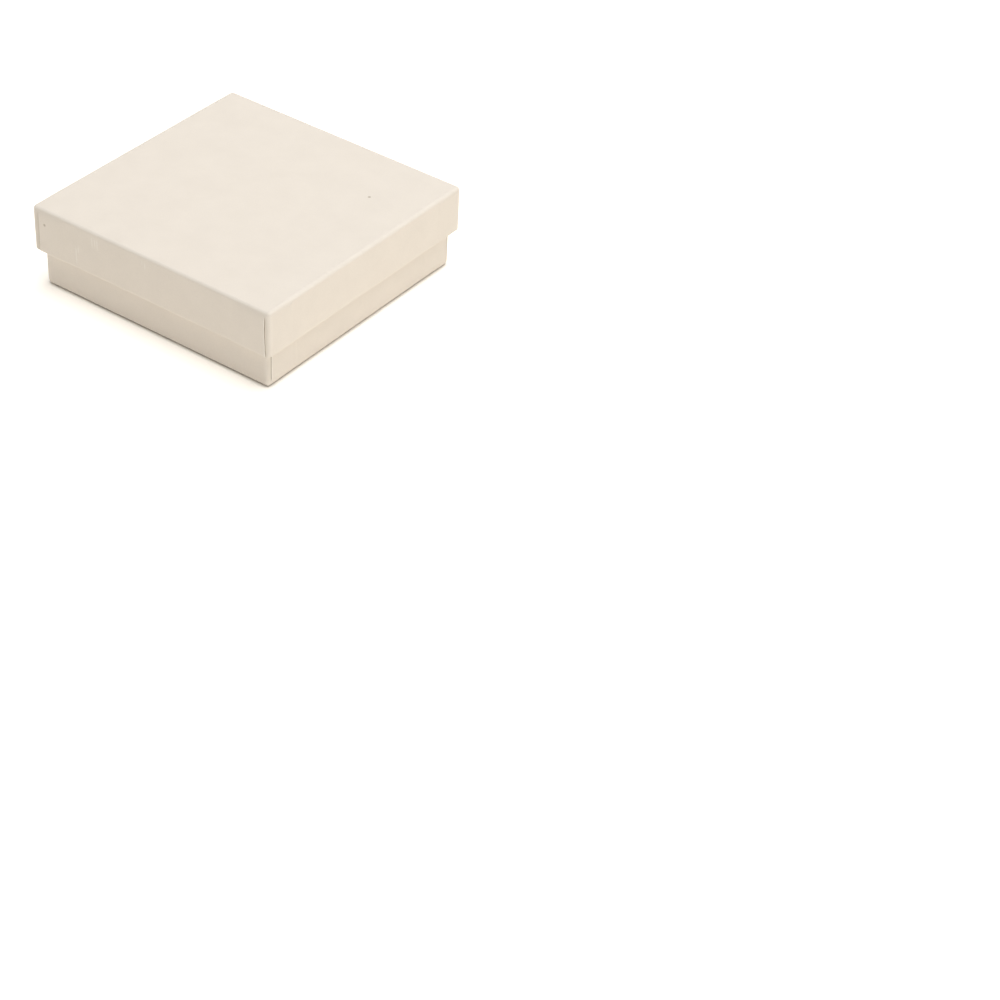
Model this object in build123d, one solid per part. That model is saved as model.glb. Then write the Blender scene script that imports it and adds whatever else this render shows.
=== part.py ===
from build123d import *
import os

# A square jewelry gift box: a rigid two-piece box of scored greyboard covered in cream paper.
# A shallow lid telescopes over a deeper tray. Each half is a folded board blank, four strips
# of stay tape that hold its corners, and one sheet of cover paper turned in over the rim.
# The tray carries a die-cut foam insert faced with velvet, and the lid a thin foam pad.
#
# Frame: +Z up, origin at the centre of the tray's underside, the flaps' seams on the front (-Y)
# and back walls of the lid and on the left and right walls of the tray. Millimetres.

# Overall sizes
LID_WIDTH = 90.0            # outside of the lid along X, between its flat walls
LID_DEPTH = 90.0            # outside of the lid along Y
CLOSED_HEIGHT = 27.2        # from the underside of the tray to the top of the closed lid
LID_SKIRT = 15.0            # outside height of the lid's walls

# Sheet stock
BOARD = 1.2                 # greyboard
PAPER = 0.15                # cover paper
STAY = 0.1                  # stay tape
LINER = 0.12                # lining paper inside the lid and the tray

# Fits
LID_CLEARANCE = 0.6         # between the lid's inner face and the tray's outer face, each side
INSERT_CLEARANCE = 0.35     # round the insert, each side
PAD_CLEARANCE = 0.8         # between the lid's pad and the tray's inner face, each side

# Folds and seams
SCORE_DEPTH = 0.8           # how deep the board is scored, which rounds the folded edge
CORNER_RADIUS = 0.9         # crushed outer corner where two board walls meet
BUTT_GAP = 0.1              # kerf where one board wall butts against the next
STAY_LEG = 10.0             # length of the stay tape along each wall
STAY_RAMP = 0.4             # how far the cover paper bridges past the end of the tape
EAR_LENGTH = 12.0           # the cover's ear, from the corner, under the next flap
SEAM_SETBACK = 1.0          # raw edge of the flap, back from the corner
TRAY_TURN_IN = 16.0         # depth of the paper turned in over the rim of the tray
LID_TURN_IN = 10.5          # depth of the paper turned in over the rim of the lid
TURN_IN_TAPER = 2.0         # how much each end of a turned-in flap narrows towards its edge
TURN_IN_GAP = 0.3           # gap between neighbouring turned-in flaps at the rim

# Insert and pad
FOAM_HEIGHT = 12.0          # foam block of the insert
VELVET = 0.6                # velvet bonded to the top of the foam
PAD_HEIGHT = 3.0            # foam pad under the top of the lid
PAD_CORNER = 3.0            # corner radius of the pad
FOAM_CORNER = 1.5           # corner radius of the foam block
SLIT_WIDTH = 0.9            # how far a knife-cut slit stands open
RING_SLIT = 26.0            # length of the slit that holds a ring
RING_SLIT_Y = -8.0          # its place along Y
EARRING_SLIT = 7.0          # length of each slit that holds an earring
EARRING_SPACING = 30.0      # between the two earring slits
EARRING_SLIT_Y = 12.0       # their place along Y
CHAIN_SLIT = 13.0           # length of each diagonal slit that holds a chain
CHAIN_SLIT_INSET = 14.0     # centre of a chain slit from the sides of the insert

# Derived sizes of the two halves
WALL = PAPER + BOARD + PAPER
TRAY_WIDTH = LID_WIDTH - 2 * (WALL + LID_CLEARANCE)
TRAY_DEPTH = LID_DEPTH - 2 * (WALL + LID_CLEARANCE)
TRAY_HEIGHT = CLOSED_HEIGHT - PAPER - BOARD - LINER
INSERT_BASE = PAPER + BOARD + LINER
INSERT_WIDTH = TRAY_WIDTH - 2 * (WALL + INSERT_CLEARANCE)
INSERT_DEPTH = TRAY_DEPTH - 2 * (WALL + INSERT_CLEARANCE)
PAD_WIDTH = TRAY_WIDTH - 2 * (WALL + PAD_CLEARANCE)
PAD_DEPTH = TRAY_DEPTH - 2 * (WALL + PAD_CLEARANCE)

UP = (Align.CENTER, Align.CENTER, Align.MIN)


def block(width, depth, low, high, radius=0.0):
    """An upright block centred on Z, from low to high, with rounded upright edges."""
    if radius > 0:
        return Pos(0, 0, low) * extrude(RectangleRounded(width, depth, radius), high - low)
    return Pos(0, 0, low) * Box(width, depth, high - low, align=UP)


def corner_squares(width, depth, side, low, high):
    """Four upright blocks that reach in from the corners of a rectangle by side."""
    reach = 2 * side
    squares = [
        Pos(sx * width / 2, sy * depth / 2, low) * Box(reach, reach, high - low, align=UP)
        for sx in (-1, 1)
        for sy in (-1, 1)
    ]
    return Part() + squares


def folded_edge(solid, radius):
    """Rounds the edges of the closed face, which lies lowest."""
    return fillet(solid.faces().sort_by(Axis.Z)[0].edges(), radius)


class Half:
    """One half of the box, modelled as an open tray: closed face down at z = 0, rim up.

    Its flaps with a raw edge, which cover the ears, are on the two walls that seam_axis crosses.
    """

    def __init__(self, width, depth, height, turn_in, seam_axis):
        self.height = height
        self.turn_in = turn_in
        self.seam_axis = seam_axis
        self.board_width = width - 2 * PAPER
        self.board_depth = depth - 2 * PAPER
        self.inner_width = self.board_width - 2 * BOARD
        self.inner_depth = self.board_depth - 2 * BOARD
        self.board_rim = height - PAPER
        self.stay_foot = PAPER + SCORE_DEPTH + STAY_RAMP

    def outline(self, outset, low, high):
        """The outside of the board's walls moved outwards by outset."""
        width = self.board_width + 2 * outset
        depth = self.board_depth + 2 * outset
        return block(width, depth, low, high, CORNER_RADIUS + outset)

    def inner(self, inset, low, high):
        """The inside of the board's walls moved inwards by inset."""
        return block(self.inner_width - 2 * inset, self.inner_depth - 2 * inset, low, high)

    def seam_band(self, near, far, low, high):
        """Mask over the two seam walls, from near to far from each corner."""
        wide = self.seam_axis == "Y"
        along = self.board_width if wide else self.board_depth
        across = self.board_depth if wide else self.board_width
        length = far - near
        masks = Part()
        for end in (-1, 1):
            for side in (-1, 1):
                middle = end * (along / 2 - near - length / 2)
                centre = (middle, side * across / 2) if wide else (side * across / 2, middle)
                size = (length, 4 * BOARD) if wide else (4 * BOARD, length)
                masks += Pos(*centre, low) * Box(*size, high - low, align=UP)
        return masks

    def board(self):
        """The blank: panel and four walls in one piece, scored folds outside, butted corners."""
        low = PAPER
        shell = self.outline(0, low, self.board_rim) - self.inner(0, low + BOARD, self.board_rim)
        score_core = self.outline(-SCORE_DEPTH, low, low + SCORE_DEPTH)
        shell -= self.outline(0, low, low + SCORE_DEPTH) - score_core
        for sx in (-1, 1):
            for sy in (-1, 1):
                x = sx * (self.inner_width - BUTT_GAP) / 2
                y = sy * (self.inner_depth / 2 + BOARD)
                kerf = Box(BUTT_GAP, 2 * BOARD, self.height, align=UP)
                shell -= Pos(x, y, low + BOARD) * kerf
        return shell

    def stay(self, sx, sy):
        """One strip of tape folded round an upright corner, outside the board."""
        band = self.outline(STAY, self.stay_foot, self.board_rim)
        band -= self.outline(0, self.stay_foot, self.board_rim)
        reach = 2 * STAY_LEG
        x = sx * self.board_width / 2
        y = sy * self.board_depth / 2
        return band & (Pos(x, y, 0) * Box(reach, reach, self.height, align=UP))

    def turned_in_flap(self, length):
        """One turned-in flap, flat in the XZ plane, narrowing downwards from the rim."""
        half = length / 2 - PAPER - TURN_IN_GAP
        edge = half - TURN_IN_TAPER
        outline = Polyline(
            (-half, self.board_rim), (half, self.board_rim),
            (edge, self.height - self.turn_in), (-edge, self.height - self.turn_in),
            close=True,
        )
        return extrude(make_face(Plane.XZ * outline), PAPER, dir=(0, -1, 0))

    def turn_ins(self):
        """The four flaps of cover paper glued down inside the walls."""
        front = self.turned_in_flap(self.inner_width)
        side = self.turned_in_flap(self.inner_depth)
        flaps = []
        for turn in (0, 180):
            flaps.append(Rot(0, 0, turn) * Pos(0, self.inner_depth / 2, 0) * front)
            flaps.append(Rot(0, 0, turn + 90) * Pos(0, self.inner_width / 2, 0) * side)
        return flaps

    def wrap(self):
        """The cover paper: one sheet over the panel and walls, its ears under the seam flaps."""
        top = self.height
        foot = self.stay_foot - STAY_RAMP
        reach = STAY_LEG + STAY_RAMP
        skin = folded_edge(self.outline(PAPER, 0, top), SCORE_DEPTH + PAPER)
        near_stay = corner_squares(self.board_width, self.board_depth, reach, foot, top)
        skin += self.outline(STAY + PAPER, foot, top) & near_stay
        skin += self.outline(2 * PAPER, foot, top) & self.seam_band(SEAM_SETBACK, EAR_LENGTH, foot, top)
        over_both = min(EAR_LENGTH, reach)
        skin += self.outline(STAY + 2 * PAPER, foot, top) & self.seam_band(
            SEAM_SETBACK, over_both, foot, top
        )
        skin -= folded_edge(self.outline(0, PAPER, self.board_rim), SCORE_DEPTH)
        skin -= self.inner(PAPER, self.board_rim - PAPER, top)
        for stay in self.stays():
            skin -= stay
        for flap in self.turn_ins():
            skin += flap
        return skin

    def stays(self):
        return [self.stay(sx, sy) for sy in (-1, 1) for sx in (-1, 1)]

    def liner(self):
        """A square of lining paper on the inside of the panel."""
        inset = PAPER + TURN_IN_GAP
        return self.inner(inset, PAPER + BOARD, PAPER + BOARD + LINER)


def slit(length, x, y, angle, low, high):
    """A knife-cut slit that stands a little open, with round ends."""
    return Pos(x, y, low) * Rot(0, 0, angle) * extrude(SlotOverall(length, SLIT_WIDTH), high - low)


def insert_slits(low, high):
    """The slits for one ring, a pair of earrings and the two ends of a chain."""
    chain_x = INSERT_WIDTH / 2 - CHAIN_SLIT_INSET
    chain_y = INSERT_DEPTH / 2 - CHAIN_SLIT_INSET
    cuts = [slit(RING_SLIT, 0, RING_SLIT_Y, 0, low, high)]
    for side in (-1, 1):
        cuts.append(slit(EARRING_SLIT, side * EARRING_SPACING / 2, EARRING_SLIT_Y, 0, low, high))
        cuts.append(slit(CHAIN_SLIT, side * chain_x, chain_y, -side * 45, low, high))
    return cuts


def insert_foam():
    """The foam block of the insert, cut right through by the slits."""
    low = INSERT_BASE
    high = low + FOAM_HEIGHT
    foam = block(INSERT_WIDTH, INSERT_DEPTH, low, high, FOAM_CORNER)
    for cut in insert_slits(low, high):
        foam -= cut
    return foam


def insert_velvet():
    """The velvet sheet bonded to the top of the foam, with the same slits."""
    low = INSERT_BASE + FOAM_HEIGHT
    high = low + VELVET
    sheet = block(INSERT_WIDTH, INSERT_DEPTH, low, high, FOAM_CORNER)
    for cut in insert_slits(low, high):
        sheet -= cut
    return sheet


def lid_pad():
    """The foam pad glued under the lid's liner, inside the tray's opening."""
    return block(PAD_WIDTH, PAD_DEPTH, TRAY_HEIGHT - PAD_HEIGHT, TRAY_HEIGHT, PAD_CORNER)


def place_lid(shape):
    """Turns a half upside down and sets its closed face at the top of the closed box."""
    return Pos(0, 0, CLOSED_HEIGHT) * Rot(180, 0, 0) * shape


def half_parts(name, half, place):
    """The named pieces of one half."""
    parts = {
        f"{name}_board": place(half.board()),
        f"{name}_wrap": place(half.wrap()),
        f"{name}_liner": place(half.liner()),
    }
    for stay in half.stays():
        placed = place(stay)
        middle = placed.center()
        corner = ("back" if middle.Y > 0 else "front") + "_" + ("right" if middle.X > 0 else "left")
        parts[f"{name}_stay_{corner}"] = placed
    return parts


lid = Half(LID_WIDTH, LID_DEPTH, LID_SKIRT, LID_TURN_IN, seam_axis="Y")
tray = Half(TRAY_WIDTH, TRAY_DEPTH, TRAY_HEIGHT, TRAY_TURN_IN, seam_axis="X")

parts = half_parts("lid", lid, place_lid)
parts.update(half_parts("tray", tray, lambda shape: shape))
parts["lid_pad"] = lid_pad()
parts["insert_foam"] = insert_foam()
parts["insert_velvet"] = insert_velvet()

os.makedirs("parts", exist_ok=True)
for name, shape in parts.items():
    export_step(shape, f"parts/{name}.step")
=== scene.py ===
import math

import bmesh
import bpy
import numpy as np
from mathutils import Matrix, Vector
from mathutils.geometry import delaunay_2d_cdt


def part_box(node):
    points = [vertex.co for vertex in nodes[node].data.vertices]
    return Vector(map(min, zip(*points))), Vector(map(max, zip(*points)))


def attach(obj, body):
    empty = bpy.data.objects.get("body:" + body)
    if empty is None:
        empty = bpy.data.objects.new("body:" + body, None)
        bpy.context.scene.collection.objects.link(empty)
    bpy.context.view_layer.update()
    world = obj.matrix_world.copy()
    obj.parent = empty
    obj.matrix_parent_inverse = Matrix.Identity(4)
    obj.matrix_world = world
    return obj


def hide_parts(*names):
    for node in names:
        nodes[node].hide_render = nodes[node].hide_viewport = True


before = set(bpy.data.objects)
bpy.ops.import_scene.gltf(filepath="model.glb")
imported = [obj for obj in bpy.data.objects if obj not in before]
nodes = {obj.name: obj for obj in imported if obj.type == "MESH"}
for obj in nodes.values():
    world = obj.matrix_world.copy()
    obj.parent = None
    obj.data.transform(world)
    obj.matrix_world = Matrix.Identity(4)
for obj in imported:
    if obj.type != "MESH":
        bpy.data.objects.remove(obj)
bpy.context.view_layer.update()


# ---- Boards ------------------------------------------------------------------------------------
# Each half is a blank of 1.2 mm greyboard, made from recycled fibre, scored half through and folded
# up. The walls butt at the corners. Only the strip above the lid's turn-ins and the tray's inner
# corners stay bare, so the board shows there as a dull grey-brown with darker and lighter flecks.

MM = 0.001                       # sizes are in millimetres, and Blender's are in metres

GREYBOARD = "#9A9182"
GREYBOARD_DARK_FIBRE = "#6F675B"
GREYBOARD_PALE_FIBRE = "#BDB5A6"


def linear(hex_colour):
    """An sRGB hex colour as the linear colour that a shader takes."""
    channels = [int(hex_colour[i:i + 2], 16) / 255 for i in (1, 3, 5)]
    return [((c + 0.055) / 1.055) ** 2.4 if c > 0.04045 else c / 12.92 for c in channels] + [1.0]


def per(size_mm):
    """The texture scale at which one repeat is this many millimetres wide."""
    return 1000 / size_mm


def new_material(name):
    """A material with no nodes yet."""
    material = bpy.data.materials.new(name)
    material.use_nodes = True
    material.node_tree.nodes.clear()
    return material


def add_node(material, kind, sockets=None, **settings):
    """Adds one node. Settings are its properties; a socket takes a value or the output that feeds it."""
    node = material.node_tree.nodes.new(kind)
    for key, value in settings.items():
        setattr(node, key, value)
    for key, value in (sockets or {}).items():
        if isinstance(value, bpy.types.NodeSocket):
            material.node_tree.links.new(value, node.inputs[key])
        else:
            node.inputs[key].default_value = value
    return node


def fibre_board(name, body, dark, pale, fibre_mm):
    """Matt recycled board or coarse paper: a body colour with dark and pale fibres and a felt tooth."""
    board = new_material(name)
    place = add_node(board, "ShaderNodeTexCoord").outputs["Object"]
    cloud = add_node(board, "ShaderNodeTexNoise", {"Vector": place, "Scale": per(7), "Detail": 3.0})
    fibre = add_node(board, "ShaderNodeTexNoise", {
        "Vector": place, "Scale": per(fibre_mm), "Detail": 4.0, "Distortion": 1.6,
    })
    fleck = add_node(board, "ShaderNodeTexVoronoi", {
        "Vector": place, "Scale": per(fibre_mm * 1.8), "Randomness": 1.0,
    })
    tone = add_node(board, "ShaderNodeMapRange", {
        "Value": fibre.outputs["Fac"], "From Min": 0.42, "From Max": 0.62,
    })
    base = add_node(board, "ShaderNodeMix", {
        0: tone.outputs["Result"], 6: linear(body), 7: linear(pale),
    }, data_type="RGBA")
    spots = add_node(board, "ShaderNodeMapRange", {
        "Value": fleck.outputs["Distance"], "From Min": 0.16, "From Max": 0.28,
        "To Min": 0.55, "To Max": 0.0,
    })
    flecked = add_node(board, "ShaderNodeMix", {
        0: spots.outputs["Result"], 6: base.outputs[2], 7: linear(dark),
    }, data_type="RGBA")
    shade = add_node(board, "ShaderNodeMapRange", {
        "Value": cloud.outputs["Fac"], "From Min": 0.3, "From Max": 0.7, "To Max": 0.18,
    })
    clouded = add_node(board, "ShaderNodeMix", {
        0: shade.outputs["Result"], 6: flecked.outputs[2], 7: linear(dark),
    }, data_type="RGBA")
    bump = add_node(board, "ShaderNodeBump", {
        "Height": fibre.outputs["Fac"], "Strength": 0.5, "Distance": 0.05 * MM,
    })
    surface = add_node(board, "ShaderNodeBsdfPrincipled", {
        "Base Color": clouded.outputs[2], "Roughness": 0.92, "IOR": 1.45, "Normal": bump.outputs["Normal"],
    })
    add_node(board, "ShaderNodeOutputMaterial", {"Surface": surface.outputs["BSDF"]})
    return board


def finish_node(node, material):
    """Gives a CAD node its finish."""
    slots = nodes[node].data.materials
    slots.clear()
    slots.append(material)


greyboard = fibre_board("greyboard", GREYBOARD, GREYBOARD_DARK_FIBRE, GREYBOARD_PALE_FIBRE, 0.5)
for node in ("lid_board", "tray_board"):
    finish_node(node, greyboard)


# ---- Stay tape ---------------------------------------------------------------------------------
# A strip of gummed kraft tape, 0.1 mm thick, holds each upright corner from outside. The cover
# paper hides it and shows only a faint ridge where it ends, 10 mm from the corner.

KRAFT = "#A9875A"
KRAFT_DARK_FIBRE = "#86683F"
KRAFT_PALE_FIBRE = "#C2A274"
TAPE = 0.1
TAPE_REACH = 10.0

kraft_tape = fibre_board("gummed_kraft_tape", KRAFT, KRAFT_DARK_FIBRE, KRAFT_PALE_FIBRE, 0.3)
for node in nodes:
    if "_stay_" in node:
        finish_node(node, kraft_tape)


# ---- Cover paper -------------------------------------------------------------------------------
# One sheet of smooth uncoated cream paper, 0.15 mm thick, is glued round each half. Its ears go
# round the corners and under the seam flaps, and it turns in over the rim. A flap's raw edge
# stands a little off the ear, which leaves a fine dark seam, deepened with painted shade in its
# hollow and on the ear beside it. Folds, corners and crease crests are drawn paler, partly as
# wear and partly as painted highlight.

PAPER = 0.15
BOARD = 1.2
CORNER = 0.9                     # radius of the board's upright corners
FOLD = CORNER + PAPER            # radius of the paper over the scored folds
FOLD_LEAN = 0.16                 # the fold is rounder on the right wall, sharper on the left
FOLD_WANDER = 0.08               # and its radius wanders by this much
RIM = 0.34                       # radius of the paper where it turns in over the rim
EAR = 12.0                       # from the corner to the end of the ear
EAR_STEP = 0.8                   # the flap comes down to the board this far past the ear's end
TAPE_STEP = 0.6                  # and the paper this far past the tape's end
TAPE_START = 0.4                 # the tape's ridge is at its full height this far below the fold
TURN_IN_TAPER = 2.0              # how much shorter a turn-in's cut edge is at each end
CUT_WANDER = 0.12                # how far that edge wanders
WALL_WAVE = 0.05                 # how far a wall is out of flat
PANEL_DIP = 0.03                 # how far the lid's panel dips

FOLD_STEPS = 6
ARC_STEPS = 6
RIM_STEPS = 4
RIM_ROWS = 2 * RIM_STEPS + 1     # rows of points round the rim, outside and inside
TURN_IN_STEPS = 8
PARTING = (FOLD + 0.1, 3.0)      # the depths between which a flap parts from the ear under it
PARTING_ROWS = (1.3, 1.5, 1.8, 2.2, 2.7, 3.4)
LAST_ROWS = (1.2, 0.5, 0.0)      # how far before the turned rim the last rows of a wall stand
ROW_GAP = 1.1
# Distance past the flap's raw edge, height over the ear's paper, painted shade, and paleness there,
# partly the white cut edge and partly painted highlight: first the hollow, then the pale cut edge,
# then the lip.
RAW_EDGE = (
    (-0.17, 0.0, 0.3, 0.0), (-0.10, -0.09, 0.9, 0.0), (-0.04, -0.13, 1.0, 0.0),
    (0.0, 0.12, 0.0, 1.0), (0.09, 0.20, 0.0, 1.0), (0.20, 0.19, 0.0, 0.3), (0.42, 0.16, 0.0, 0.0),
)
# Painted shade on the ear, from the corner to the flap's raw edge; across the corner's arc it fades away
# from the seam wall.
EAR_PAINTED_SHADE = 0.14
ON_EAR = -1.0                    # stands for any place on the ear, short of the raw edge
BOW_REACH = (0.5, 1.7)           # an edge's bow is full within the first, gone past the second
# Columns of points stand closer where the tape and the ears end under the paper.
WALL_STATIONS = (2.9, 3.8, 5.0, 6.5, 8.2, 9.6, 10.0, 10.3, 10.7, 11.4, 11.9, 12.3, 12.8, 13.6, 15.0)
STATION_GAP = 2.4

# Hair creases in the lid's front wall: place along X, first and last depth, and how far each
# stands proud or, below zero, dips.
LID_CREASES = (
    (-28.2, 7.5, 14.0, 0.10), (-27.3, 6.5, 10.0, 0.08), (-21.6, 1.6, 5.7, 0.08),
    (-20.6, 2.0, 5.0, -0.07), (-19.6, 1.8, 5.4, 0.08), (-2.2, 1.6, 3.4, 0.07), (-1.1, 1.8, 4.2, 0.08),
)
CREASE_STEPS = (-0.4, -0.2, 0.0, 0.2, 0.4)
CREASE_WIDTH = 0.2
CREASE_FADE = 1.0
# Setbacks and bows of the raw edges go round from the front right corner.
WRAPS = {
    "lid": dict(
        seam_axis="Y", turn_in=10.5, setbacks=(1.1, 1.5, 1.4, 2.1), bows=(0.28, 0.3, 0.4, 0.25),
        creases=LID_CREASES, seed=3,
    ),
    "tray": dict(
        seam_axis="X", turn_in=16.0, setbacks=(1.1, 1.3, 1.6, 1.5), bows=(0.05, 0.3, 0.35, 0.25),
        creases=(), seed=8,
    ),
}

# How much paler the creases, the folds, the corners and the walls beside them are drawn: partly wear,
# partly painted highlight.
CREASE_PALE = 0.7
FOLD_PALE = 0.2
CORNER_PALE = 0.25
BESIDE_CORNER_PALE = 0.12

CREAM = "#E4DBCF"
CREAM_CLOUD = "#E1D8CC"
# Paler paper, for wear and for painted highlight on folds, corners, crease crests and cut edges.
CREAM_WEAR_AND_HIGHLIGHT = "#F4EFE6"
# Painted shade, for the seams' hollows and the ears beside them.
SEAM_PAINTED_SHADE = "#9C8B71"
SPECK = "#9C8F7A"
# Specks of chaff in the lid's sheet.
SPECKS_MM = ((-40.3, -45.1, 22.1), (27.8, 22.4, 27.2))
SPECK_MM = 0.6

MERGE_MM = 0.002                 # points nearer than this are one
SHARP_DEGREES = 38               # an edge that turns more than this stays crisp


def smooth(value, start, end):
    """0 before start, 1 after end, and a soft step between them."""
    t = np.clip((value - start) / (end - start), 0, 1)
    return t * t * (3 - 2 * t)


def ripple(points, seed, longest, shortest, waves=7):
    """A gentle seeded unevenness from -1 to 1, at points in millimetres."""
    rng = np.random.default_rng(seed)
    total = np.zeros(points.shape[:-1])
    for _ in range(waves):
        way = rng.normal(size=3)
        way /= np.linalg.norm(way)
        length = rng.uniform(shortest, longest)
        total += np.sin(points @ way * (2 * math.pi / length) + rng.uniform(0, 2 * math.pi))
    return total / waves


def closed_sheet(name, face_points, back_points, faces, side_rows=1, marks=None, bulge=0.0):
    """A closed mesh from the two faces of a sheet, in millimetres, with its cut edges filled in."""
    count = len(face_points)
    # Points that coincide, as they do at a corner, become one before the cut edges are looked for.
    first = {}
    same = [
        first.setdefault(tuple(np.round([*p, *q], 4)), i)
        for i, (p, q) in enumerate(zip(face_points, back_points))
    ]
    faces = [list(dict.fromkeys(same[v] for v in face)) for face in faces]
    faces = [face for face in faces if len(face) > 2]
    uses = {}
    for face in faces:
        for a, b in zip(face, face[1:] + face[:1]):
            uses.setdefault((min(a, b), max(a, b)), []).append((a, b))
    border = [pairs[0] for pairs in uses.values() if len(pairs) == 1]
    rim = sorted({v for edge in border for v in edge})
    points = [*face_points, *back_points]
    rows = [{v: v for v in rim}]
    for row in range(1, side_rows):
        t = row / side_rows
        rows.append({v: len(points) + i for i, v in enumerate(rim)})
        for v in rim:
            waist = 1 + bulge * math.sin(math.pi * t)
            middle = (1 - t) * np.array(face_points[v]) + t * np.array(back_points[v])
            points.append(middle * [waist, waist, 1])
    rows.append({v: count + v for v in rim})
    polygons = list(faces) + [[count + v for v in reversed(face)] for face in faces]
    for upper, lower in zip(rows, rows[1:]):
        polygons += [[upper[b], upper[a], lower[a], lower[b]] for a, b in border]
    mesh = bpy.data.meshes.new(name)
    mesh.from_pydata([tuple(np.array(p) * MM) for p in points], [], polygons)
    for mark, values in (marks or {}).items():
        layer = mesh.attributes.new(mark, "FLOAT", "POINT")
        full = np.zeros(len(points), np.float32)
        full[:count] = values
        layer.data.foreach_set("value", full)
    work = bmesh.new()
    work.from_mesh(mesh)
    bmesh.ops.remove_doubles(work, verts=work.verts, dist=MERGE_MM * MM)
    bmesh.ops.dissolve_degenerate(work, edges=work.edges, dist=MERGE_MM / 2 * MM)
    bmesh.ops.recalc_face_normals(work, faces=work.faces)
    work.to_mesh(mesh)
    work.free()
    mesh.polygons.foreach_set("use_smooth", [True] * len(mesh.polygons))
    mesh.set_sharp_from_angle(angle=math.radians(SHARP_DEGREES))
    piece = bpy.data.objects.new(name, mesh)
    bpy.context.scene.collection.objects.link(piece)
    return piece


def perimeter(half_x, half_y, cut):
    """The columns of points that run from the closed face to the rim, in order round the half.

    Four walls, each followed by the arc of its next corner. A wall column has its place along the
    wall, how far away the nearest corner is, and how far past the raw edge there it stands.
    """
    walls = (
        ((0, -1), (1, 0), half_y, half_x), ((1, 0), (0, 1), half_x, half_y),
        ((0, 1), (-1, 0), half_y, half_x), ((-1, 0), (0, -1), half_x, half_y),
    )
    columns = []
    for number, (normal, along, reach, half) in enumerate(walls):
        is_seam = (normal[0] != 0) == (cut["seam_axis"] == "X")
        ends = []
        for end, corner in ((-1, number - 1), (1, number)):
            setback = cut["setbacks"][corner]
            bow = cut["bows"][corner]
            # A station's dark is painted shade: on the bare ear and in the hollow under the raw edge.
            stations = [(CORNER, ON_EAR, 0.0, EAR_PAINTED_SHADE, 0.0)]
            stations += [(setback + past, past, rise, dark, pale) for past, rise, dark, pale in RAW_EDGE]
            stations += [(away, away - setback, 0.0, 0.0, 0.0) for away in WALL_STATIONS]
            ends.append([(end * (half - away), away, past, bow, *edge) for away, past, *edge in stations])
        gap = half - WALL_STATIONS[-1]
        cells = max(2, round(2 * gap / STATION_GAP))
        places = list(np.linspace(-gap, gap, cells + 1)[1:-1])
        if normal[0] == 0:
            # The creases' columns go in the back wall as well, so that the panel's grid closes.
            places += [along[0] * (x + step) for x, *_ in cut["creases"] for step in CREASE_STEPS]
        span = [(x, half - abs(x), half - abs(x), 0.0, 0.0, 0.0, 0.0) for x in sorted(places)]
        for place, away, past, bow, rise, dark, pale in ends[0] + span + ends[1][::-1]:
            columns.append(dict(
                wall=number, normal=normal, along=along, reach=reach, half=half, place=place, away=away,
                past=past, bow=bow, rise=rise * is_seam, dark=dark * is_seam, pale=pale * is_seam,
                seam=is_seam, arc=None,
            ))
        sign = (normal[0] + along[0], normal[1] + along[1])
        start = math.atan2(normal[1], normal[0])
        # Across the corner's arc the ear's painted shade fades away from the seam wall.
        for step in range(1, ARC_STEPS):
            turn = step / ARC_STEPS
            angle = start + math.pi / 2 * turn
            columns.append(dict(
                wall=number, normal=(math.cos(angle), math.sin(angle)), along=(0, 0), reach=0, half=0,
                place=0, away=0.0, past=ON_EAR, bow=0.0, rise=0.0, pale=0.0,
                dark=EAR_PAINTED_SHADE * (1 - turn if is_seam else turn), seam=False, arc=sign,
            ))
    return columns


def column_points(column, outset, depth, shift, half_x, half_y):
    """The points of one column, at these distances outside the board and below the closed face."""
    if column["arc"] is None:
        limit = column["half"] + np.minimum(outset, 0)
        place = np.clip(column["place"] + shift, -limit, limit)
        side = column["reach"] + outset
        x = column["normal"][0] * side + column["along"][0] * place
        y = column["normal"][1] * side + column["along"][1] * place
    else:
        sx, sy = column["arc"]
        radius = np.maximum(CORNER + outset, 0)
        inset = np.minimum(CORNER + outset, 0)
        x = sx * (half_x - CORNER + inset) + column["normal"][0] * radius
        y = sy * (half_y - CORNER + inset) + column["normal"][1] * radius
    return np.stack([x, y, depth], axis=1)


def wrap_rows(height):
    """The rows of points down a wall: kind of row, and its angle or depth."""
    fold = [("fold", math.pi / 2 * k / FOLD_STEPS) for k in range(FOLD_STEPS)]
    rim_start = height - RIM
    first = [FOLD, *PARTING_ROWS]
    last = rim_start - LAST_ROWS[0]
    cells = round((last - first[-1]) / ROW_GAP)
    wall = [("wall", d) for d in first + list(np.linspace(first[-1], last, cells + 1)[1:])]
    wall += [("wall", rim_start - before) for before in LAST_ROWS[1:]]
    rim = [("rim", math.pi / 2 * k / RIM_STEPS) for k in range(1, RIM_STEPS + 1)]
    inside = [("inside", math.pi / 2 * k / RIM_STEPS) for k in range(RIM_STEPS + 1)]
    return fold + wall + rim + inside


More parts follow.
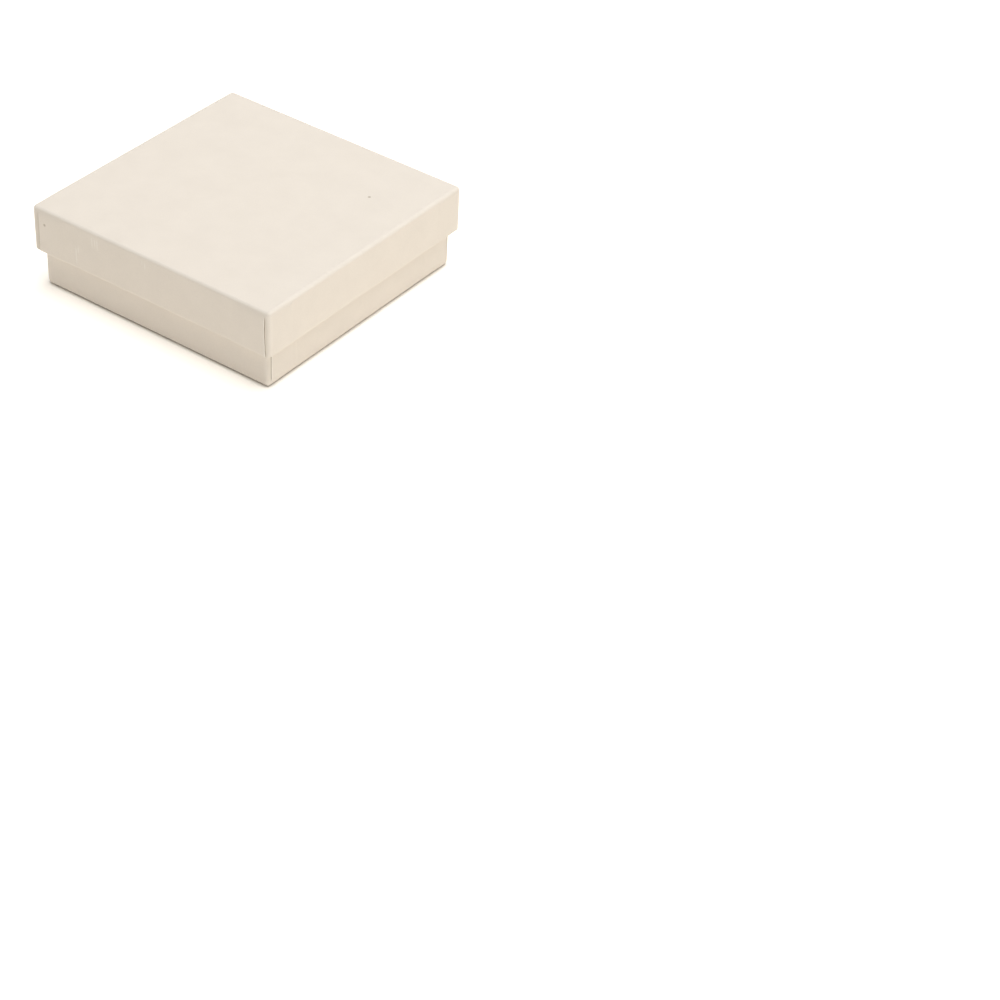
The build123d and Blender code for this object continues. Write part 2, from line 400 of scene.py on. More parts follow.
def section_of_wall(rows, over, under, fold, height):
    """How far outside the board, and how deep, both faces of the paper run down one column."""
    tight = RIM - PAPER
    section = []
    for (kind, value), top, base in zip(rows, over, under):
        turn, sink = math.sin(value), math.cos(value)
        if kind == "fold":
            inner = fold - PAPER
            section.append((top - fold * (1 - turn), fold * (1 - sink)))
            section[-1] += (base - inner * (1 - turn), PAPER + inner * (1 - sink))
        elif kind == "wall":
            # The first row of the wall goes down with a fold that is rounder.
            depth = max(value, fold) if value == FOLD else value
            section.append((top, depth, base, depth))
        elif kind == "rim":
            section.append((top - RIM * (1 - sink), height - RIM * (1 - turn)))
            section[-1] += (base - tight * (1 - sink), height - PAPER - tight * (1 - turn))
        else:
            section.append((-BOARD - PAPER + RIM * (1 - turn), height - RIM * (1 - sink)))
            section[-1] += (-BOARD + tight * (1 - turn), height - PAPER - tight * (1 - sink))
    return np.array(section).T


def creased(place, depth, over, pale, creases):
    """Adds the hair creases to the height and paleness of one column of the front wall."""
    for x, top, bottom, lift in creases:
        pinch = math.exp(-((place - x) / CREASE_WIDTH) ** 2) * smooth(depth, top, top + CREASE_FADE)
        pinch = pinch * (1 - smooth(depth, bottom - CREASE_FADE, bottom))
        over = over + lift * pinch
        # A crease's crest is drawn paler, partly as wear and partly as painted highlight.
        pale = pale + CREASE_PALE * pinch
    return over, pale


def paper_column(column, rows, height, half_x, half_y, cut):
    """One column of the paper: its outer and glued points, its paleness from wear and painted highlight,
    and the painted shade at its seam.
    """
    place, away, past = column["place"], column["away"], column["past"]
    depth = np.array([{"fold": 0.0, "wall": value}.get(kind, height) for kind, value in rows])
    bend = np.array([0.0 if kind == "wall" else math.sin(2 * value) for kind, value in rows])
    parted = smooth(depth, *PARTING)
    # The tape lifts the paper, and so does the ear under a seam flap.
    tape = TAPE * smooth(depth, FOLD, FOLD + TAPE_START)
    tape = tape * (1 - smooth(away, TAPE_REACH, TAPE_REACH + TAPE_STEP))
    rise = PAPER if column["seam"] and past > RAW_EDGE[-1][0] else column["rise"]
    if rise > 0:
        rise *= 1 - smooth(away, EAR, EAR + EAR_STEP)
    over = tape + PAPER + parted * rise
    # The raw edge was cut in a slight bow, deepest above the middle of the wall.
    bow = np.sin(math.pi * (depth / height) ** 0.7)
    bow[-RIM_ROWS:] = 0.0
    shift = -math.copysign(column["bow"], place) * bow * (1 - smooth(abs(past), *BOW_REACH))
    # The wall is a little out of flat, though not near its folds, its rim and its corners.
    middle = column_points(column, over, depth, shift, half_x, half_y)
    settled = smooth(depth, FOLD, 5) * (1 - smooth(depth, height - 4, height - 0.5))
    over = over + WALL_WAVE * ripple(middle, cut["seed"], 46, 17) * settled * smooth(away, 0, 6)
    unevenness = FOLD_LEAN * column["normal"][0]
    unevenness = unevenness + FOLD_WANDER * ripple(middle, cut["seed"] + 5, 60, 25)[0]
    fold = FOLD + unevenness * smooth(away, 3, 9)
    pale = column["pale"] * parted
    if column["wall"] == 0 and column["arc"] is None:
        over, pale = creased(place, depth, over, pale, cut["creases"])
    out, out_deep, back, back_deep = section_of_wall(rows, over, tape, fold, height)
    outer = column_points(column, out, out_deep, shift, half_x, half_y)
    glued = column_points(column, back, back_deep, shift, half_x, half_y)
    # Folds, corners and the walls beside them are drawn paler: partly wear, partly painted highlight.
    corner = CORNER_PALE if column["arc"] else BESIDE_CORNER_PALE * (1 - smooth(away, 0.9, 1.6))
    wear_and_highlight = np.maximum(pale, np.maximum(FOLD_PALE * bend, corner * (depth > 0)))
    return outer, glued, wear_and_highlight, column["dark"] * parted


def wrap_half(name, closed, toward_rim, height, half_x, half_y, cut):
    """The cover paper of one half as a closed sheet that follows the board, the tape and the ears."""
    columns = perimeter(half_x, half_y, cut)
    rows = wrap_rows(height)
    count, number = len(rows), len(columns)
    lofted = [paper_column(column, rows, height, half_x, half_y, cut) for column in columns]
    outer, glued, wear_and_highlight, seam = (np.concatenate(part) for part in zip(*lofted))
    faces = [
        [c * count + r, d * count + r, d * count + r + 1, c * count + r + 1]
        for c, d in zip(range(number), [*range(1, number), 0]) for r in range(count - 1)
    ]
    panel = panel_grid(columns, outer, glued, count, len(outer))
    flap_start = len(outer) + len(panel[0])
    flaps = turned_in_flaps(columns, outer, glued, count, flap_start, height, cut)
    outer = np.concatenate([outer, panel[0], flaps[0]])
    glued = np.concatenate([glued, panel[1], flaps[1]])
    if toward_rim < 0:
        # The lid's panel is not quite flat.
        inside = slice(number * count, flap_start)
        outer[inside, 2] += PANEL_DIP * (ripple(outer[inside], cut["seed"] + 9, 70, 30) + 1) * 0.5
    for layer in (outer, glued):
        layer[:, 2] = closed + toward_rim * layer[:, 2]
    rest = np.zeros(len(outer) - number * count)
    # The marks hold paleness from wear and painted highlight, and painted shade at the seams.
    marks = {"wear_and_highlight": np.concatenate([wear_and_highlight, rest]), "seam": np.concatenate([seam, rest])}
    return closed_sheet(name, list(outer), list(glued), faces + panel[2] + flaps[2], marks=marks)


def panel_grid(columns, outer, glued, count, start):
    """Fills the closed face with a grid whose border is the first row of the four walls' columns."""
    walls = [[i for i, c in enumerate(columns) if c["wall"] == w and c["arc"] is None] for w in range(4)]
    front, right, back, left = walls[0], walls[1], walls[2][::-1], walls[3][::-1]
    wide, deep = len(front), len(right)
    index = np.zeros((wide, deep), int)
    index[:, 0] = [i * count for i in front]
    index[:, -1] = [i * count for i in back]
    index[0, :] = [i * count for i in left]
    index[-1, :] = [i * count for i in right]
    inner = [(i, j) for i in range(1, wide - 1) for j in range(1, deep - 1)]
    for k, (i, j) in enumerate(inner):
        index[i, j] = start + k
    new = []
    for layer in (outer, glued):
        edge = [layer[index[:, 0]], layer[index[:, -1]], layer[index[0, :]], layer[index[-1, :]]]
        u = (edge[0][:, 0] - edge[0][0, 0]) / (edge[0][-1, 0] - edge[0][0, 0])
        v = (edge[2][:, 1] - edge[2][0, 1]) / (edge[2][-1, 1] - edge[2][0, 1])
        points = []
        # Each inner point is blended from the four edges.
        for i, j in inner:
            across = (1 - v[j]) * edge[0][i] + v[j] * edge[1][i]
            along = (1 - u[i]) * edge[2][j] + u[i] * edge[3][j]
            ends = (1 - v[j]) * ((1 - u[i]) * edge[0][0] + u[i] * edge[0][-1])
            ends = ends + v[j] * ((1 - u[i]) * edge[1][0] + u[i] * edge[1][-1])
            points.append(across + along - ends)
        new.append(np.array(points))
    faces = [
        [int(index[i, j + 1]), int(index[i + 1, j + 1]), int(index[i + 1, j]), int(index[i, j])]
        for i in range(wide - 1) for j in range(deep - 1)
    ]
    return new[0], new[1], faces


def turned_in_flaps(columns, outer, glued, count, start, height, cut):
    """The four flaps glued down inside the walls. Each narrows towards its cut edge."""
    new_outer, new_glued, faces = [], [], []
    for wall in range(4):
        own = [
            i for i, c in enumerate(columns)
            if c["wall"] == wall and c["arc"] is None and c["past"] >= RAW_EDGE[-1][0] - 1e-9
        ]
        last_row = [i * count + count - 1 for i in own]
        ends = [outer[last_row[0]], outer[last_row[-1]]]
        length = np.linalg.norm(ends[1] - ends[0])
        along = (ends[1] - ends[0]) / length
        middle = (ends[0] + ends[1]) / 2
        grid = [last_row]
        for step in range(1, TURN_IN_STEPS + 1):
            t = step / TURN_IN_STEPS
            row = []
            for edge_point in last_row:
                for layer, new in ((outer, new_outer), (glued, new_glued)):
                    point = layer[edge_point].copy()
                    share = (point - middle) @ along / (length / 2)
                    point += along * (-share * TURN_IN_TAPER * t)
                    point[2] += t * (height - cut["turn_in"] - point[2])
                    point[2] += CUT_WANDER * t * ripple(point[None, :], cut["seed"] + wall, 20, 8)[0]
                    new.append(point)
                row.append(start + len(new_outer) - 1)
            grid.append(row)
        for upper, lower in zip(grid, grid[1:]):
            for k in range(len(own) - 1):
                faces.append([upper[k], upper[k + 1], lower[k + 1], lower[k]])
    return np.array(new_outer), np.array(new_glued), faces


def cover_paper():
    """Uncoated cream paper: a soft cloudy sheet with a fine tooth, paler on its folds and corners from wear
    and painted highlight.
    """
    paper = new_material("uncoated_cream_paper")
    place = add_node(paper, "ShaderNodeTexCoord").outputs["Object"]
    # Clouds of fibre in the sheet, about 9 mm across, which hardly show.
    cloud = add_node(paper, "ShaderNodeTexNoise", {
        "Vector": place, "Scale": per(9), "Detail": 4.0, "Roughness": 0.6,
    })
    # The paper's tooth is about 0.1 mm. It is drawn at 0.4 mm, as coarse as it needs to show.
    tooth = add_node(paper, "ShaderNodeTexNoise", {
        "Vector": place, "Scale": per(0.4), "Detail": 3.0, "Roughness": 0.55,
    })
    # The board's own unevenness shows faintly through the paper.
    through = add_node(paper, "ShaderNodeTexNoise", {"Vector": place, "Scale": per(3.2), "Detail": 2.0})
    clouds = add_node(paper, "ShaderNodeMapRange", {
        "Value": cloud.outputs["Fac"], "From Min": 0.32, "From Max": 0.68,
    })
    sheet = add_node(paper, "ShaderNodeMix", {
        0: clouds.outputs["Result"], 6: linear(CREAM), 7: linear(CREAM_CLOUD),
    }, data_type="RGBA")
    grain = add_node(paper, "ShaderNodeMapRange", {
        "Value": tooth.outputs["Fac"], "From Min": 0.3, "From Max": 0.7, "To Min": 0.975, "To Max": 1.01,
    })
    grained = add_node(paper, "ShaderNodeMix", {
        0: 1.0, 6: sheet.outputs[2], 7: grain.outputs["Result"],
    }, data_type="RGBA", blend_type="MULTIPLY")
    # Paler on folds, corners, crease crests and cut edges: partly wear, partly painted highlight.
    wear_and_highlight = add_node(paper, "ShaderNodeAttribute", attribute_name="wear_and_highlight")
    patchiness = add_node(paper, "ShaderNodeMapRange", {
        "Value": through.outputs["Fac"], "From Min": 0.35, "From Max": 0.65, "To Min": 0.5, "To Max": 0.9,
    })
    wear_and_highlight_amount = add_node(paper, "ShaderNodeMath", {
        0: wear_and_highlight.outputs["Fac"], 1: patchiness.outputs["Result"],
    }, operation="MULTIPLY")
    edged = add_node(paper, "ShaderNodeMix", {
        0: wear_and_highlight_amount.outputs["Value"], 6: grained.outputs[2], 7: linear(CREAM_WEAR_AND_HIGHLIGHT),
    }, data_type="RGBA")
    # The seam mark darkens the paper with painted shade in the seams' hollows and on the ears.
    seam = add_node(paper, "ShaderNodeAttribute", attribute_name="seam")
    shaded = add_node(paper, "ShaderNodeMix", {
        0: seam.outputs["Fac"], 6: edged.outputs[2], 7: linear(SEAM_PAINTED_SHADE),
    }, data_type="RGBA")
    specked = shaded.outputs[2]
    for spot in SPECKS_MM:
        away = add_node(paper, "ShaderNodeVectorMath", {
            0: place, 1: [c * MM for c in spot],
        }, operation="DISTANCE")
        dot = add_node(paper, "ShaderNodeMapRange", {
            "Value": away.outputs["Value"], "From Min": 0.5 * SPECK_MM * MM, "From Max": SPECK_MM * MM,
            "To Min": 0.6, "To Max": 0.0,
        })
        specked = add_node(paper, "ShaderNodeMix", {
            0: dot.outputs["Result"], 6: specked, 7: linear(SPECK),
        }, data_type="RGBA").outputs[2]
    fine = add_node(paper, "ShaderNodeBump", {
        "Height": tooth.outputs["Fac"], "Strength": 0.35, "Distance": 0.02 * MM,
    })
    uneven = add_node(paper, "ShaderNodeBump", {
        "Height": through.outputs["Fac"], "Strength": 0.5, "Distance": 0.04 * MM,
        "Normal": fine.outputs["Normal"],
    })
    dull = add_node(paper, "ShaderNodeMapRange", {
        "Value": tooth.outputs["Fac"], "From Min": 0.3, "From Max": 0.7, "To Min": 0.78, "To Max": 0.9,
    })
    surface = add_node(paper, "ShaderNodeBsdfPrincipled", {
        "Base Color": specked, "Roughness": dull.outputs["Result"], "IOR": 1.46,
        "Normal": uneven.outputs["Normal"],
    })
    add_node(paper, "ShaderNodeOutputMaterial", {"Surface": surface.outputs["BSDF"]})
    return paper


def box_mm(node):
    """A CAD node's lowest and highest corner in millimetres."""
    low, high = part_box(node)
    return np.array(low) / MM, np.array(high) / MM


uncoated_cream = cover_paper()
for half, cut in WRAPS.items():
    low, high = box_mm(f"{half}_wrap")
    board_half = box_mm(f"{half}_board")[1]
    closed, toward_rim = (high[2], -1) if half == "lid" else (low[2], 1)
    wrap = wrap_half(
        f"{half}_cover_paper", closed, toward_rim, high[2] - low[2], board_half[0], board_half[1], cut,
    )
    wrap.data.materials.append(uncoated_cream)
    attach(wrap, half)
    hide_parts(f"{half}_wrap")


# ---- Lining paper ------------------------------------------------------------------------------
# A square of thin white lining paper is glued to the inside of each panel. It is plain bleached
# paper with a slight calendered sheen.

LINING_WHITE = "#EDE9E0"
LINING_SHADE = "#E0DACE"
LINING_FIBRE = "#F6F3EC"

lining_paper = fibre_board("bleached_lining_paper", LINING_WHITE, LINING_SHADE, LINING_FIBRE, 0.35)
for node in ("lid_liner", "tray_liner"):
    finish_node(node, lining_paper)


# ---- Insert ------------------------------------------------------------------------------------
# A die-cut block of white foam fills the lower half of the tray. A velvet sheet is bonded to its
# top and cut through with it: one long slit holds a ring, two short ones earrings, and two
# diagonal ones the ends of a chain. The knife leaves lips that dip into each slit.

VELVET = 0.6
INSERT_CORNER = 1.5
CROWN = 0.28                     # how much the middle stands over the CAD solid
SWELL = 0.12                     # uneven rise and fall of the foam under the velvet
BOND = 0.01                      # film of glue between velvet and foam
EDGE_ROLL = 1.1                  # radius of the rolled top edge
LIP_DEPTH = 1.3
LIP_REACH = 0.9
SLIT_HALF_WIDTH = 0.3
SLIT_TIP = 0.03                  # half the width of a slit at its ends
SLITS = (                        # length, centre, angle in degrees
    (26.0, (0.0, -8.0), 0), (7.0, (-15.0, 12.0), 0), (7.0, (15.0, 12.0), 0),
    (13.0, (-27.05, 27.05), 45), (13.0, (27.05, 27.05), -45),
)

VELVET_IVORY = "#E4DACA"
VELVET_SHADE = "#CFC3AF"
VELVET_SHEEN = "#FFF8EC"
FOAM_WHITE = "#EFEDE6"
FOAM_PORE_PAINTED_SHADE = "#B9B5A9"

# The plan's points stand in rings along the border and round the slits, and in a loose field between.
RING_GAP = 1.4
BORDER_RINGS = (0.06, 0.2, 0.42, 0.7, 1.05, 1.6)
SLIT_RINGS = (0.1, 0.25, 0.5, 0.85, 1.3, 2.0)
SLIT_GAP = 1.1
ROUND_STEPS = 6
FIELD_SCATTER = 0.3
BORDER_CLEAR, SLIT_CLEAR = 2.2, 2.8


def rounded_ring(half_x, half_y, radius, inset):
    """Points round a rectangle with rounded corners, moved inwards by inset."""
    points = []
    round_off = max(radius - inset, 0.02)
    centres = [
        np.array([x * (half_x - inset - round_off), y * (half_y - inset - round_off)])
        for x, y in ((1, -1), (1, 1), (-1, 1), (-1, -1))
    ]
    for k, centre in enumerate(centres):
        angle = k * math.pi / 2
        for step in range(ROUND_STEPS + 1):
            turn = angle - math.pi / 2 + math.pi / 2 * step / ROUND_STEPS
            points.append(centre + round_off * np.array([math.cos(turn), math.sin(turn)]))
        last = points[-1]
        first = centres[(k + 1) % 4] + round_off * np.array([math.cos(angle), math.sin(angle)])
        cells = max(2, round(np.linalg.norm(first - last) / RING_GAP))
        points += [last + (first - last) * i / cells for i in range(1, cells)]
    return points


def slit_ring(length, centre, angle, offset):
    """Points round a slit, moved outwards by offset. The slit is a lens, pinched at its ends."""
    half = length / 2
    cells = max(6, round(length / SLIT_GAP))
    side = [(-half + length * i / cells) for i in range(1, cells)]
    lens = [SLIT_HALF_WIDTH * (1 - (x / half) ** 2) + SLIT_TIP + offset for x in side]
    ring = list(zip(side, lens))
    end = SLIT_TIP + offset
    turns = [math.pi / 2 - math.pi * i / ROUND_STEPS for i in range(ROUND_STEPS + 1)]
    ring += [(half + end * math.cos(t), end * math.sin(t)) for t in turns]
    ring += [(x, -y) for x, y in zip(side[::-1], lens[::-1])]
    ring += [(-half - end * math.cos(t), -end * math.sin(t)) for t in turns]
    c, s = math.cos(math.radians(angle)), math.sin(math.radians(angle))
    return [np.array([centre[0] + c * x - s * y, centre[1] + s * x + c * y]) for x, y in ring]


def slit_distance(points, length, centre, angle):
    """How far points lie from the lips of a slit."""
    c, s = math.cos(math.radians(angle)), math.sin(math.radians(angle))
    away = points[:, :2] - np.array(centre)
    x, y = away @ [c, s], away @ [-s, c]
    half = length / 2
    past = np.maximum(np.abs(x) - half, 0)
    lens = SLIT_HALF_WIDTH * np.maximum(1 - (x / half) ** 2, 0) + SLIT_TIP
    return np.maximum(np.hypot(past, y) - lens, 0)


def border_distance(points, half_x, half_y, radius):
    """How far points lie inside a rectangle with rounded corners."""
    q = np.abs(points[:, :2]) - [half_x - radius, half_y - radius]
    outside = np.linalg.norm(np.maximum(q, 0), axis=1)
    return radius - outside - np.minimum(q.max(axis=1), 0)


def flat_plan(half_x, half_y, radius, gap, slits):
    """Triangles over a rounded square with slits cut out, finer near its border and the slits."""
    cut_lines = [rounded_ring(half_x, half_y, radius, 0)] + [slit_ring(*slit, 0) for slit in slits]
    points, edges = [], []
    for ring in cut_lines:
        first = len(points)
        points += ring
        edges += [(first + i, first + (i + 1) % len(ring)) for i in range(len(ring))]
    for inset in BORDER_RINGS:
        points += rounded_ring(half_x, half_y, radius, inset)
    for slit in slits:
        for offset in SLIT_RINGS:
            points += slit_ring(*slit, offset)
    rng = np.random.default_rng(11)
    field = np.array([
        (x + rng.uniform(-FIELD_SCATTER, FIELD_SCATTER), y + rng.uniform(-FIELD_SCATTER, FIELD_SCATTER))
        for x in np.arange(-half_x + gap, half_x - gap / 2, gap)
        for y in np.arange(-half_y + gap, half_y - gap / 2, gap)
    ])
    clear = border_distance(field, half_x, half_y, radius) > BORDER_CLEAR
    for slit in slits:
        clear &= slit_distance(field, *slit) > SLIT_CLEAR
    points += list(field[clear])
    found = delaunay_2d_cdt([Vector(p) for p in points], edges, [], 0, 1e-5)
    flat = np.array([tuple(v) for v in found[0]])
    # What lies in a slit or outside the border is left out.
    triangles = []
    for face in found[2]:
        middle = flat[list(face)].mean(axis=0)[None, :]
        inside = border_distance(middle, half_x, half_y, radius)[0] > 0
        if inside and all(slit_distance(middle, *slit)[0] > 0 for slit in slits):
            triangles.append(list(face))
    return flat, triangles


def plan_swell(plan, seed, longest, shortest):
    """The gentle unevenness of a block of foam over its plan."""
    return ripple(np.column_stack([plan, np.zeros(len(plan))]), seed, longest, shortest)


def quarter_round(distance, radius):
    """How far a rolled edge lies below the face, at a distance inside the border."""
    near = np.clip(distance, 0, radius)
    return radius - np.sqrt(np.maximum(radius**2 - (radius - near) ** 2, 0))


def velvet_pile():
    """Ivory velvet: a short dense pile whose lean leaves soft paler and darker strokes."""
    velvet = new_material("ivory_velvet")
    place = add_node(velvet, "ShaderNodeTexCoord").outputs["Object"]
    stretch = add_node(velvet, "ShaderNodeMapping", {"Vector": place, "Scale": (1.0, 0.45, 1.0)})
    stroke = add_node(velvet, "ShaderNodeTexNoise", {
        "Vector": stretch.outputs["Vector"], "Scale": per(6), "Detail": 4.0, "Distortion": 0.8,
    })
    # Pile tufts are about 0.1 mm. They are drawn at 0.35 mm so that they show.
    tuft = add_node(velvet, "ShaderNodeTexNoise", {"Vector": place, "Scale": per(0.35), "Detail": 2.0})
    lean = add_node(velvet, "ShaderNodeMapRange", {
        "Value": stroke.outputs["Fac"], "From Min": 0.35, "From Max": 0.68, "To Max": 0.6,
    })
    colour = add_node(velvet, "ShaderNodeMix", {
        0: lean.outputs["Result"], 6: linear(VELVET_IVORY), 7: linear(VELVET_SHADE),
    }, data_type="RGBA")
    # The pile is drawn darker where its tufts sink and a touch paler on their tops, as painted shade and
    # light on the pile.
    depth = add_node(velvet, "ShaderNodeMapRange", {
        "Value": tuft.outputs["Fac"], "From Min": 0.3, "From Max": 0.7, "To Min": 0.82, "To Max": 1.04,
    })
    piled = add_node(velvet, "ShaderNodeMix", {
        0: 1.0, 6: colour.outputs[2], 7: depth.outputs["Result"],
    }, data_type="RGBA", blend_type="MULTIPLY")
    bump = add_node(velvet, "ShaderNodeBump", {
        "Height": tuft.outputs["Fac"], "Strength": 0.7, "Distance": 0.12 * MM,
    })
    surface = add_node(velvet, "ShaderNodeBsdfPrincipled", {
        "Base Color": piled.outputs[2], "Roughness": 0.95, "IOR": 1.4, "Sheen Weight": 0.6,
        "Sheen Roughness": 0.45, "Sheen Tint": linear(VELVET_SHEEN), "Normal": bump.outputs["Normal"],
    })
    add_node(velvet, "ShaderNodeOutputMaterial", {"Surface": surface.outputs["BSDF"]})
    return velvet


def open_cell_foam():
    """White polyurethane foam: open cells of about 0.5 mm that read as tiny pits, darkened with painted
    shade.
    """
    foam = new_material("open_cell_foam")
    place = add_node(foam, "ShaderNodeTexCoord").outputs["Object"]
    cell = add_node(foam, "ShaderNodeTexVoronoi", {"Vector": place, "Scale": per(0.55), "Randomness": 1.0})
    cloud = add_node(foam, "ShaderNodeTexNoise", {"Vector": place, "Scale": per(5), "Detail": 2.0})
    # The pits are darkened with painted shade.
    pore_painted_shade = add_node(foam, "ShaderNodeMapRange", {
        "Value": cell.outputs["Distance"], "From Min": 0.12, "From Max": 0.5, "To Min": 0.75, "To Max": 0.0,
    })
    colour = add_node(foam, "ShaderNodeMix", {
        0: pore_painted_shade.outputs["Result"], 6: linear(FOAM_WHITE), 7: linear(FOAM_PORE_PAINTED_SHADE),
    }, data_type="RGBA")
    tone = add_node(foam, "ShaderNodeMapRange", {
        "Value": cloud.outputs["Fac"], "From Min": 0.3, "From Max": 0.7, "To Min": 0.95, "To Max": 1.0,
    })
    toned = add_node(foam, "ShaderNodeMix", {
        0: 1.0, 6: colour.outputs[2], 7: tone.outputs["Result"],
    }, data_type="RGBA", blend_type="MULTIPLY")
    bump = add_node(foam, "ShaderNodeBump", {
        "Height": cell.outputs["Distance"], "Strength": 0.8, "Distance": 0.2 * MM,
    })
    surface = add_node(foam, "ShaderNodeBsdfPrincipled", {
        "Base Color": toned.outputs[2], "Roughness": 0.95, "IOR": 1.4,
        "Normal": bump.outputs["Normal"],
    })
    add_node(foam, "ShaderNodeOutputMaterial", {"Surface": surface.outputs["BSDF"]})
    return foam


foam_low, foam_high = box_mm("insert_foam")
velvet_top = box_mm("insert_velvet")[1][2]
insert_x, insert_y = foam_high[0], foam_high[1]
plan, triangles = flat_plan(insert_x, insert_y, INSERT_CORNER, 2.0, SLITS)
from_border = border_distance(plan, insert_x, insert_y, INSERT_CORNER)
surface_z = velvet_top + CROWN * smooth(from_border, 0, 24) - quarter_round(from_border, EDGE_ROLL)
surface_z = surface_z + SWELL * plan_swell(plan, 21, 40, 16) * smooth(from_border, 0, 8)
for slit in SLITS:
    gap_to_lip = slit_distance(plan, *slit)
    surface_z = surface_z - LIP_DEPTH * np.exp(-gap_to_lip / LIP_REACH)

velvet_face = np.column_stack([plan, surface_z])
velvet_back = np.column_stack([plan, surface_z - VELVET])
foam_face = np.column_stack([plan, surface_z - VELVET - BOND])
foam_back = np.column_stack([plan, np.full(len(plan), foam_low[2])])
velvet = closed_sheet("insert_velvet_sheet", list(velvet_face), list(velvet_back), triangles)
velvet.data.materials.append(velvet_pile())
foam = closed_sheet(
    "insert_foam_block", list(foam_face), list(foam_back), triangles, side_rows=6, bulge=-0.006,
)
foam_white = open_cell_foam()
foam.data.materials.append(foam_white)
for piece, node, slot in ((velvet, "insert_velvet", "velvet"), (foam, "insert_foam", "foam")):
    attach(piece, "insert")
    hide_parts(node)


# ---- Lid pad -----------------------------------------------------------------------------------
# A 3 mm sheet of the same foam is glued under the lid's liner and presses on the jewelry. Its
# free face is crowned and its cut edges are soft.

PAD_CORNER = 3.0
PAD_ROLL = 1.3
PAD_CROWN = 0.2
PAD_SWELL = 0.06

pad_low, pad_high = box_mm("lid_pad")
plan, triangles = flat_plan(pad_high[0], pad_high[1], PAD_CORNER, 2.4, ())
from_border = border_distance(plan, pad_high[0], pad_high[1], PAD_CORNER)
sag = PAD_CROWN * smooth(from_border, 0, 26) - quarter_round(from_border, PAD_ROLL)
sag = sag + PAD_SWELL * plan_swell(plan, 31, 36, 14) * smooth(from_border, 0, 8)
pad_back = np.column_stack([plan, np.full(len(plan), pad_high[2])])
pad_face = np.column_stack([plan, pad_low[2] - sag])
pad = closed_sheet("lid_foam_pad", list(pad_back), list(pad_face), triangles, side_rows=3, bulge=-0.003)
pad.data.materials.append(foam_white)
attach(pad, "lid")
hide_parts("lid_pad")


# ---- Studio ------------------------------------------------------------------------------------
# A white table under a soft overhead box and a large low box to the right, with a pale room
# that fills the shadows. The table glows with painted light of its own, except close round the
# box, where a painted contact shadow stays dark. The camera looks down on the front corner from
# the right, aimed past the box, which stands up and left of the middle of the view.

TABLE_WHITE = "#FCF8F1"
TABLE_PAINTED_GLOW = 0.35                # the table glows by its own emission, painted light with no lamp
TABLE_PAINTED_SHADOW_MM = 1.4             # except this near to what stands on it, where a painted contact shadow stays dark
TABLE_RADIUS = 2.5               # metres, as the lights and the camera are
TABLE_GAP_MM = 0.2               # the box stands on the low spots of its slightly bowed base
ROOM_COLOUR, ROOM_STRENGTH = "#FFFFFF", 0.30
# Name, place and size in metres, power in watts, and colour.
SOFT_BOXES = (
    ("overhead_soft_box", (0.1, 0.15, 1.3), (1.1, 1.1), 17.2, "#FFFFFF"),
    ("side_soft_box", (1.5, 0.0, 0.20), (1.2, 0.4), 2.9, "#FFFAF2"),
)
AIM = (0, 0, 0.01)               # both boxes point here
CAMERA_AZIMUTH, CAMERA_ELEVATION, CAMERA_ROLL = 33.67, 37.82, 3.48     # degrees
CAMERA_DISTANCE = 0.788
CAMERA_RIGHT, CAMERA_DOWN = 0.0759, 0.06916
LENS_MM = 93.35


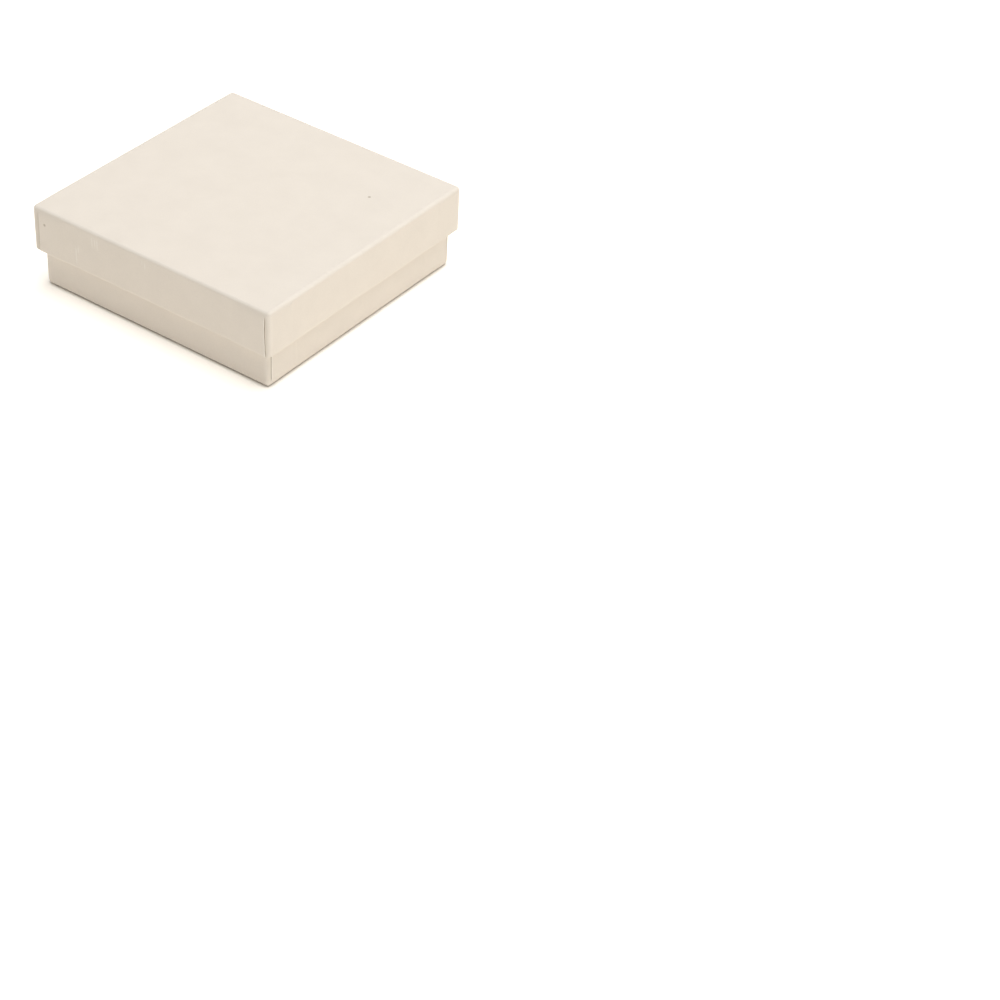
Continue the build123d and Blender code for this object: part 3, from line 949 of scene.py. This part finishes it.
def add_table():
    """The round white table top, which glows with painted light and has a painted contact shadow round the
    box.
    """
    mesh = bpy.data.meshes.new("table")
    work = bmesh.new()
    bmesh.ops.create_circle(work, cap_ends=True, segments=96, radius=TABLE_RADIUS)
    work.to_mesh(mesh)
    work.free()
    finish = new_material("glowing_table_with_painted_shadow")
    # The glow fades where the table is closed in by what stands on it, which paints a contact shadow.
    painted_contact_shadow = add_node(finish, "ShaderNodeAmbientOcclusion", {
        "Distance": TABLE_PAINTED_SHADOW_MM * MM,
    }, samples=8)
    glow = add_node(finish, "ShaderNodeMapRange", {
        "Value": painted_contact_shadow.outputs["AO"], "From Min": 0.45, "From Max": 0.85, "To Max": TABLE_PAINTED_GLOW,
    })
    surface = add_node(finish, "ShaderNodeBsdfPrincipled", {
        "Base Color": linear(TABLE_WHITE), "Roughness": 0.9, "IOR": 1.4,
        "Emission Color": linear(TABLE_WHITE), "Emission Strength": glow.outputs["Result"],
    })
    add_node(finish, "ShaderNodeOutputMaterial", {"Surface": surface.outputs["BSDF"]})
    mesh.materials.append(finish)
    table = bpy.data.objects.new("table", mesh)
    table.location.z = -TABLE_GAP_MM * MM
    bpy.context.scene.collection.objects.link(table)


def add_soft_box(name, place, size, power, colour):
    """A rectangular soft box aimed at the object."""
    lamp = bpy.data.lights.new(name, "AREA")
    lamp.shape = "RECTANGLE"
    lamp.size, lamp.size_y = size
    lamp.energy = power
    lamp.color = linear(colour)[:3]
    piece = bpy.data.objects.new(name, lamp)
    piece.location = place
    piece.rotation_euler = (Vector(place) - Vector(AIM)).to_track_quat("Z", "Y").to_euler()
    bpy.context.scene.collection.objects.link(piece)


def add_camera():
    """The camera, placed by its azimuth, elevation and roll about the box."""
    azimuth, elevation = math.radians(CAMERA_AZIMUTH), math.radians(CAMERA_ELEVATION)
    back = Vector((
        math.sin(azimuth) * math.cos(elevation),
        -math.cos(azimuth) * math.cos(elevation),
        math.sin(elevation),
    ))
    right = Vector((0, 0, 1)).cross(back).normalized()
    up = back.cross(right)
    roll = math.radians(CAMERA_ROLL)
    right, up = (
        right * math.cos(roll) + up * math.sin(roll), up * math.cos(roll) - right * math.sin(roll),
    )
    lens = bpy.data.cameras.new("camera")
    lens.lens = LENS_MM
    camera = bpy.data.objects.new("camera", lens)
    turned = Matrix((right, up, back)).transposed().to_4x4()
    camera.matrix_world = Matrix.Translation(
        right * CAMERA_RIGHT - up * CAMERA_DOWN + back * CAMERA_DISTANCE
    ) @ turned
    bpy.context.scene.collection.objects.link(camera)
    bpy.context.scene.camera = camera


add_table()
for soft_box in SOFT_BOXES:
    add_soft_box(*soft_box)
add_camera()
world = bpy.data.worlds.new("pale_room")
world.use_nodes = True
room = world.node_tree.nodes["Background"]
room.inputs["Color"].default_value = linear(ROOM_COLOUR)
room.inputs["Strength"].default_value = ROOM_STRENGTH
bpy.context.scene.world = world
bpy.context.scene.view_settings.view_transform = "Standard"
